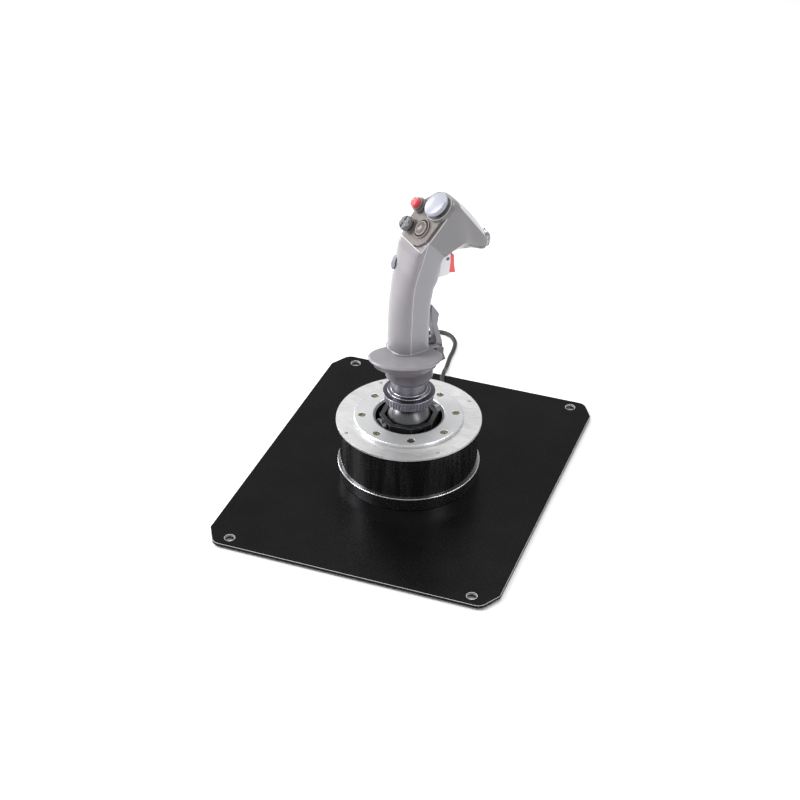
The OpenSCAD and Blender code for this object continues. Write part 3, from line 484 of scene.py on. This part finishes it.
def shade(obj, angle):
    """Smooth shading, with a break at every edge sharper than angle."""
    for face in obj.data.polygons:
        face.use_smooth = True
    obj.data.set_sharp_from_angle(angle=math.radians(angle))
    return obj


def round_edges(obj, width, angle=32):
    """Bevels every edge sharper than angle and gives the bevels the second paint, which is a
    painted highlight where the piece has one.
    """
    for face in obj.data.polygons:
        face.use_smooth = True
    bevel = obj.modifiers.new("edges", "BEVEL")
    bevel.width = width * MM
    bevel.segments = 2
    bevel.limit_method = "ANGLE"
    bevel.angle_limit = math.radians(angle)
    bevel.use_clamp_overlap = True
    bevel.harden_normals = True
    bevel.material = 1
    return baked(obj)


def clean(obj, angle=0.6, weld=0.004):
    """Welds a mesh's points and joins the faces that lie in one plane."""
    work = bmesh.new()
    work.from_mesh(obj.data)
    bmesh.ops.remove_doubles(work, verts=work.verts, dist=weld * MM)
    bmesh.ops.dissolve_limit(work, angle_limit=math.radians(angle), verts=work.verts,
                             edges=work.edges, delimit={"NORMAL"})
    work.to_mesh(obj.data)
    work.free()
    return obj


def finish_piece(obj, node):
    """Gives a piece the body of the node that it stands for and hides that node."""
    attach(obj, frame["nodes"][node]["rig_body"])
    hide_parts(node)
    return obj


def section_block(name, outline, x0, x1):
    """Solid of a side-view outline between two x positions."""
    count = len(outline)
    points = [(x, y, z) for x in (x0, x1) for y, z in outline]
    sides = [(i, (i + 1) % count, count + (i + 1) % count, count + i) for i in range(count)]
    return from_points(name, points, [*sides, tuple(range(count)),
                                      tuple(range(count, 2 * count))], STICK)


def block(name, low, high, matrix):
    points = [(x, y, z) for x in (low[0], high[0]) for y in (low[1], high[1])
              for z in (low[2], high[2])]
    faces = [(0, 1, 3, 2), (4, 5, 7, 6), (0, 1, 5, 4), (2, 3, 7, 6), (0, 2, 6, 4), (1, 3, 7, 5)]
    return from_points(name, points, faces, matrix)


def lathe(name, profile, matrix, sides=96):
    """Solid turned from a closed profile of (radius, height) points about the z axis."""
    points, rings = [], []
    for radius, height in profile:
        if radius == 0:
            rings.append([len(points)] * sides)
            points.append((0, 0, height))
        else:
            rings.append(list(range(len(points), len(points) + sides)))
            points += [(radius * math.cos(2 * math.pi * i / sides),
                        radius * math.sin(2 * math.pi * i / sides), height)
                       for i in range(sides)]
    faces = []
    for a, b in zip(rings, rings[1:] + rings[:1]):
        for i in range(sides):
            corners = dict.fromkeys((a[i], a[(i + 1) % sides], b[(i + 1) % sides], b[i]))
            if len(corners) > 2:
                faces.append(tuple(corners))
    return from_points(name, points, faces, matrix)


# ---------- cord ----------

CORD_RADIUS = 2.0
ROUTE = [
    (10, 78, 22), (10, 84, 22), (10, 90, 20), (9, 97, 16), (7, 104, 12), (3, 111, 9),
    (-3, 119, 7), (-9, 126, 6.5), (-15, 133, 6.5), (-19, 141, 6.5), (-20, 148, 6.6),
    (-21, 153, 6.2), (-22, 158, 4.2), (-23, 164, 2.4), (-24, 171, 2), (-26, 184, 2),
    (-27, 198, 2), (-30, 211, 2), (-38, 221, 2), (-48, 224, 2), (-58, 220, 2),
    (-64, 210, 2), (-66, 197, 2), (-66, 180, 2), (-65, 168, 2), (-65, 162, 2.6),
    (-65, 157, 4.4), (-65, 152, 6.2), (-65, 147, 6.6), (-65, 140, 6.5),
    (-65, 124, 6.5), (-65, 106, 6.5), (-65, 92, 6.5),
]
TAIL = [
    (-49, 118, 10.5), (-56, 113, 11), (-62, 107, 11.2), (-68, 100, 11), (-73, 92, 10),
    (-76, 85, 9), (-77, 79, 8.5), (-76.8, 74, 8.5),
]
COIL_CENTRE = Vector((-34, 91, 6.5))
COIL_OUTER, COIL_INNER, PITCH = 31, 15, 4
COIL_START, COIL_END = 180, 120
COIL_CLIMB, COIL_RAMP = 1, 0.3
TURN_STEPS = 24


def coil_turns():
    """Turns of the coil: inwards on the lower layer, then outwards on the upper one."""
    inward = (COIL_OUTER - COIL_INNER) / PITCH
    total = 2 * inward + COIL_CLIMB + ((COIL_END - COIL_START) % 360) / 360
    points = []
    for i in range(int(total * TURN_STEPS) + 1):
        turns = min(i / TURN_STEPS, total)
        radius = COIL_OUTER - PITCH * turns
        height = 0.0
        if turns > inward:
            radius = COIL_INNER
            height = PITCH * min(1, (turns - inward) / COIL_RAMP)
        if turns > inward + COIL_CLIMB:
            radius = COIL_INNER + PITCH * (turns - inward - COIL_CLIMB)
        angle = math.radians(COIL_START) + 2 * math.pi * turns
        radius = min(radius, COIL_OUTER)
        points.append(COIL_CENTRE + Vector((radius * math.cos(angle),
                                            radius * math.sin(angle), height)))
    return points


def between(a, b, c, d, t):
    """Catmull-Rom value a share t of the way from b to c."""
    return 0.5 * (2 * b + (c - a) * t + (2 * a - 5 * b + 4 * c - d) * t * t
                  + (3 * b - a - 3 * c + d) * t ** 3)


def with_neighbours(items):
    """Each pair of items in a row, with the one before it and the one after it."""
    padded = [items[0], *items, items[-1]]
    return zip(padded, padded[1:], padded[2:], padded[3:])


def smooth_line(points, pieces=4):
    """Catmull-Rom curve through the points."""
    line = [between(*four, k / pieces) for four in with_neighbours(points)
            for k in range(pieces)]
    return [*line, points[-1]]


def make_cord():
    points = [Vector(p) for p in ROUTE] + coil_turns()[1:] + [Vector(p) for p in TAIL[1:]]
    line = [p * MM for p in smooth_line(points)]
    curve = bpy.data.curves.new("data_cord", "CURVE")
    curve.dimensions = "3D"
    curve.bevel_depth = CORD_RADIUS * MM
    curve.bevel_resolution = 4
    curve.use_fill_caps = True
    spline = curve.splines.new("POLY")
    spline.points.add(len(line) - 1)
    for point, place in zip(spline.points, line):
        point.co = (*place, 1)
    curve.materials.append(MATERIALS["cord_rubber"])
    cord = new_object("data_cord", curve)
    length = sum((b - a).length for a, b in zip(line, line[1:]))
    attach(cord, "base")
    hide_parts("usb_cord", "usb_cord_tail", "cord_coil")
    return cord, line[0], length


cord, cord_exit, cord_length = make_cord()


# ---------- carried-over parts, with real edges ----------

# Nodes that keep the CAD shape, with the width of their rounded edges
EDGED = {
    "base_plate": 0.45, "rubber_feet": 0.4, "plate_screws": 0.15, "skirt_ring": 0.6,
    "barrel_housing": 0.3, "top_flange": 0.35, "cover_ring": 0.3, "cover_ring_screws": 0.12,
    "aperture_lip": 0.35, "gimbal_bracket": 0.4, "roll_bearings": 0.2, "magnet_carrier": 0.4,
    "centring_magnet": 0.4, "sensor_board": 0.1, "main_board": 0.1, "cable_gland": 0.25,
    "cord_tie": 0.2, "usb_plug": 0.4, "gimbal_ring": 0.6, "roll_pins": 0.2,
    "pitch_bearings": 0.2, "ball_dome": 0.4, "stick_spindle": 0.3, "pitch_pins": 0.2,
    "moving_magnet": 0.4, "connector_plate": 0.2, "din_socket": 0.1, "grip_neck": 0.3,
    "grip_cone": 0.4, "palm_shelf": 0.35, "shelf_screws": 0.15, "face_panel": 0.35,
    "trim_hat_bezel": 0.4, "hat_switches": 0.2, "side_hat_pod": 0.4, "horn_bezel": 0.3,
    "trigger_housing": 0.5, "trigger_pin": 0.2, "lever_pin": 0.2, "grip_board": 0.1,
    "locking_ring": 0.14, "trigger": 0.6, "trigger_spring": 0.0, "pinkie_lever": 0.7,
    "weapon_button": 0.25, "horn_button": 0.25, "trim_hat": 0.4, "trim_hat_pivot": 0.0,
    "castle_hat": 0.35, "castle_hat_pivot": 0.0, "thumb_hat": 0.25, "thumb_hat_pivot": 0.0,
    "side_hat": 0.3, "side_hat_pivot": 0.0,
}


def edged_copy(node, width):
    obj = new_object(f"{node}_piece", frame["nodes"][node].data.copy())
    # Second paint: the painted edge highlight for this paint, where there is one
    edge = EDGE_HIGHLIGHT_PAINTS.get(SLOT_OF[node])
    obj.data.materials.clear()
    obj.data.materials.append(MATERIALS[SLOT_OF[node]])
    obj.data.materials.append(edge or MATERIALS[SLOT_OF[node]])
    clean(obj)
    obj.data.attributes.remove(obj.data.attributes["custom_normal"])
    if width:
        round_edges(obj, width)
    else:
        shade(obj, 60)
    return finish_piece(obj, node)


pieces = {node: edged_copy(node, width) for node, width in EDGED.items()}


# ---------- grip shells ----------

# Rows across the grip, from its foot to the horn's end: rear or top (y, z), front or
# under (y, z), half width, shift in x, the seam's share of the line, squareness behind
# and ahead of the seam, and how far the front corners are cut to flat facets.
SECTIONS = [
    (-18.2, 126, 13.5, 126, 15.0, 0.0, 0.37, 2.0, 4.0, 0),
    (-18.2, 140, 13.7, 140, 15.0, 0.0, 0.37, 2.0, 4.0, 0),
    (-17.6, 154, 14.1, 154, 15.0, 0.0, 0.37, 2.0, 4.0, 0),
    (-16.6, 165, 14.8, 166, 15.1, 0.0, 0.35, 2.1, 4.0, 0),
    (-15.0, 175, 16.4, 175, 15.4, 0.0, 0.33, 2.2, 4.0, 0),
    (-12.8, 184, 18.0, 181, 15.8, -0.3, 0.28, 2.4, 3.8, 0),
    (-10.2, 192, 21.8, 187, 16.2, -0.7, 0.24, 2.8, 3.6, 0),
    (-7.4, 200, 23.4, 195, 16.8, -1.0, 0.22, 3.2, 3.6, 0),
    (-4.8, 209, 25.0, 203, 17.4, -1.4, 0.20, 3.6, 3.6, 0.4),
    (-1.2, 218.5, 29.0, 208, 17.8, -1.6, 0.18, 5.0, 3.4, 0.8),
    (9.5, 235, 36.0, 209.6, 18.0, -1.2, 0.18, 6.0, 3.2, 1),
    (20.5, 248.6, 41.5, 210, 17.4, -0.6, 0.20, 6.0, 3.0, 1),
    (31.6, 255.8, 46.6, 209.0, 13.4, 1.0, 0.30, 5.0, 2.8, 1),
    (42.6, 248.8, 51.4, 207.0, 11.4, 0.4, 0.45, 4.0, 2.6, 0.6),
    (52.4, 237.4, 56.8, 204.2, 10.4, 0.0, 0.50, 3.2, 2.4, 0.2),
    (60.6, 226.0, 61.8, 201.8, 9.5, 0.0, 0.50, 2.5, 2.2, 0),
    (64.2, 218.9, 64.2, 201.3, 8.8, 0.0, 0.50, 2.0, 2.0, 0),
]
SHELL_T = 2.6
SEAM_GAP = 0.35
OUTSIDE = 40
SIDES = 96
ROW_STEPS = 8
FACET_DEPTH, FACET_WIDTH = 0.28, 0.5
CREASE_WAY, CREASE_POINT = (0, 0.737, 0.676), (0, 8, 227)
CREASE_STEP, CREASE_BLEND, CREASE_FADE = 0.7, 1.2, 9
FOOT_Z, FOOT_FLARE, FOOT_HIGH = 119, 0.9, 1.6
POD_R, TRIM_SEAT_R, HORN_CORE_R, HORN_RIM_R = 7.6, 11.9, 7.2, 8.5
LEVER_RECESS = (-5.6, 9, 120), (5.6, 39, 164)

# Side view of the seam between the two shells, from the foot up: (y, z)
SEAM = [(-6.4, 120), (-6.2, 140), (-5.7, 155), (-5.4, 166), (-4.6, 180), (-1.8, 195),
        (1.6, 206), (7.4, 225)]


def power(value, exponent):
    return math.copysign(abs(value) ** exponent, value)


def facet_point(share):
    """Point of a quarter outline with a flat cut corner, from the front round to the side."""
    corner = 1 - FACET_DEPTH
    if share < 0.25:
        return 1.0, FACET_WIDTH * share / 0.25
    if share < 0.5:
        t = (share - 0.25) / 0.25
        return 1 + (corner - 1) * t, FACET_WIDTH + (1 - FACET_WIDTH) * t
    return corner * (1 - (share - 0.5) / 0.5), 1.0


def ring_points(row, inset):
    y0, z0, y1, z1, half, offset, share, rear_n, front_n, facet = row
    length = math.hypot(y1 - y0, z1 - z0)
    along = ((y1 - y0) / length, (z1 - z0) / length)
    rear = share * length
    middle = (y0 + rear * along[0], z0 + rear * along[1])
    points = []
    for i in range(SIDES):
        angle = 2 * math.pi * i / SIDES
        ahead = math.cos(angle) > 1e-9
        reach = (length - rear if ahead else rear) - inset
        exponent = 2 / (front_n if ahead else rear_n)
        u, v = power(math.cos(angle), exponent), power(math.sin(angle), exponent)
        if ahead and facet:
            turned = math.atan2(abs(math.sin(angle)), math.cos(angle)) / (math.pi / 2)
            flat_u, flat_v = facet_point(turned)
            u += facet * (flat_u - u)
            v += facet * (math.copysign(flat_v, math.sin(angle) or 1) - v)
        points.append(Vector((offset + v * (half - inset), middle[0] + along[0] * u * reach,
                              middle[1] + along[1] * u * reach)))
    return points


def dense_rows():
    rows = [tuple(between(*four, k / ROW_STEPS) for four in zip(*near))
            for near in with_neighbours(SECTIONS) for k in range(ROW_STEPS)]
    return [*rows, SECTIONS[-1]]


def past_crease(point):
    """0 on the column and 1 on the head, either side of the moulded crease."""
    level = Vector(CREASE_WAY).dot(point - Vector(CREASE_POINT))
    t = min(1, max(0, level / CREASE_BLEND))
    return t * t * (3 - 2 * t)


def grip_skin(name, inset, rows):
    rings = [ring_points(row, inset) for row in rows]
    if inset == 0:
        foot = SECTIONS[0]
        flare = [(0, FOOT_FLARE), (FOOT_HIGH * 0.55, FOOT_FLARE), (FOOT_HIGH, 0)]
        lip = [[p + Vector((0, 0, up)) for p in ring_points(foot, -grow)] for up, grow in flare]
        rings = lip + rings[2:]
        for ring in rings:
            for p in ring:
                step = CREASE_STEP * past_crease(p) * min(1, abs(p.x) / CREASE_FADE)
                p.x += math.copysign(step, p.x)
    else:
        rings = [[p - Vector((0, 0, 2)) for p in rings[0]], *rings[1:]]
    count = len(rings)
    faces = [(k * SIDES + i, k * SIDES + (i + 1) % SIDES, (k + 1) * SIDES + (i + 1) % SIDES,
              (k + 1) * SIDES + i) for k in range(count - 1) for i in range(SIDES)]
    faces += [tuple(range(SIDES)), tuple(range((count - 1) * SIDES, count * SIDES))]
    return from_points(name, [p for ring in rings for p in ring], faces, STICK)


def rear_prism(name, gap):
    seam = smooth_line([Vector((y - gap, z, 0)) for y, z in SEAM], 6)
    outline = [(-OUTSIDE, FOOT_Z), *[(p.x, p.y) for p in seam], (-OUTSIDE, SEAM[-1][1])]
    return section_block(name, outline, -OUTSIDE, OUTSIDE)


def plug(radius, low, high):
    """Profile of a plain cylinder for lathe."""
    return [(0, low), (radius, low), (radius, high), (0, high)]


def make_shells():
    rows = dense_rows()
    rear = grip_skin("grip_rear_shell_piece", 0, rows)
    hollow = grip_skin("hollow", SHELL_T, rows[:-ROW_STEPS])
    carve(rear, hollow)
    front = new_object("grip_front_shell_piece", rear.data.copy())
    zone, zone_behind = rear_prism("zone", 0), rear_prism("zone_behind", SEAM_GAP)
    carve(rear, zone_behind, "INTERSECT")
    carve(front, zone)
    above = block("above", (-OUTSIDE, -FACE_BACK, 0), (OUTSIDE, FACE_FRONT, OUTSIDE), FACE)
    pod = lathe("pod", plug(POD_R, -14, 6), SIDE)
    recess = block("recess", *LEVER_RECESS, STICK)
    seat = lathe("seat", plug(TRIM_SEAT_R, -2, 18), TRIM)
    horn = lathe("horn", [(0, -4), (HORN_CORE_R, -4), (HORN_CORE_R, -0.05),
                          *plug(HORN_RIM_R, -0.05, 16)[1:]], HORN)
    for shell in (rear, front):
        carve(shell, above)
        carve(shell, pod)
    for cutter in (recess, seat, horn):
        carve(front, cutter)
    discard(hollow, zone, zone_behind, above, pod, recess, seat, horn)
    paints = {
        # Second colour of each shell: the painted shade on its head
        rear: shell_paint("grip_rear_grey", (142, 138, 143), (128, 125, 129), -1),
        front: shell_paint("grip_front_grey", (148, 147, 153), (126, 124, 127), 1),
    }
    for shell, node in ((rear, "grip_rear_shell"), (front, "grip_front_shell")):
        clean(shell, 0.2, 0.12)
        shell.data.materials.clear()
        shell.data.materials.append(paints[shell])
        # Second paint: shell_edge, the painted highlight on the rounded edges
        shell.data.materials.append(MATERIALS["shell_edge"])
        round_edges(shell, 0.45, 38)
        finish_piece(shell, node)


make_shells()


# ---------- floor and light ----------

FLOOR_REACH = 3000
LIGHT_TARGET = Vector((0, 0, 0.12))
WORLD_STRENGTH = 0.5

# Name, place in metres, width and height in metres, and power in watts
LIGHTS = [
    ("key", (-1.0, -0.3, 1.0), (0.5, 0.9), 16),
    ("top", (0.1, 0.6, 1.5), (1.2, 0.7), 14),
    ("side", (1.2, -0.5, 0.7), (0.5, 0.9), 4),
    ("rim", (-1.2, 0.5, 0.45), (0.4, 0.8), 6),
]


def make_floor():
    points = [(x * FLOOR_REACH, y * FLOOR_REACH, 0)
              for x, y in ((-1, -1), (1, -1), (1, 1), (-1, 1))]
    floor = from_points("floor", points, [(0, 1, 2, 3)], SCALE)
    paint = Paint("floor", 0.6, specular=0.2)
    paint.colour(paint.mix(paint.noise(6), (0.95, 0.95, 0.95), (0.98, 0.98, 0.98)))
    floor.data.materials.append(paint.material)


def make_light(name, place, size, energy):
    data = bpy.data.lights.new(name, "AREA")
    data.shape = "RECTANGLE"
    data.size, data.size_y = size
    data.energy = energy
    light = bpy.data.objects.new(name, data)
    light.location = place
    light.rotation_mode = "QUATERNION"
    light.rotation_quaternion = (LIGHT_TARGET - light.location).to_track_quat("-Z", "Y")
    bpy.context.scene.collection.objects.link(light)


def make_world():
    world = bpy.data.worlds.new("studio")
    world.use_nodes = True
    backdrop = world.node_tree.nodes["Background"].inputs
    backdrop["Color"].default_value = (1, 1, 1, 1)
    backdrop["Strength"].default_value = WORLD_STRENGTH
    bpy.context.scene.world = world
    bpy.context.scene.view_settings.view_transform = "Standard"


make_floor()
for light in LIGHTS:
    make_light(*light)
make_world()
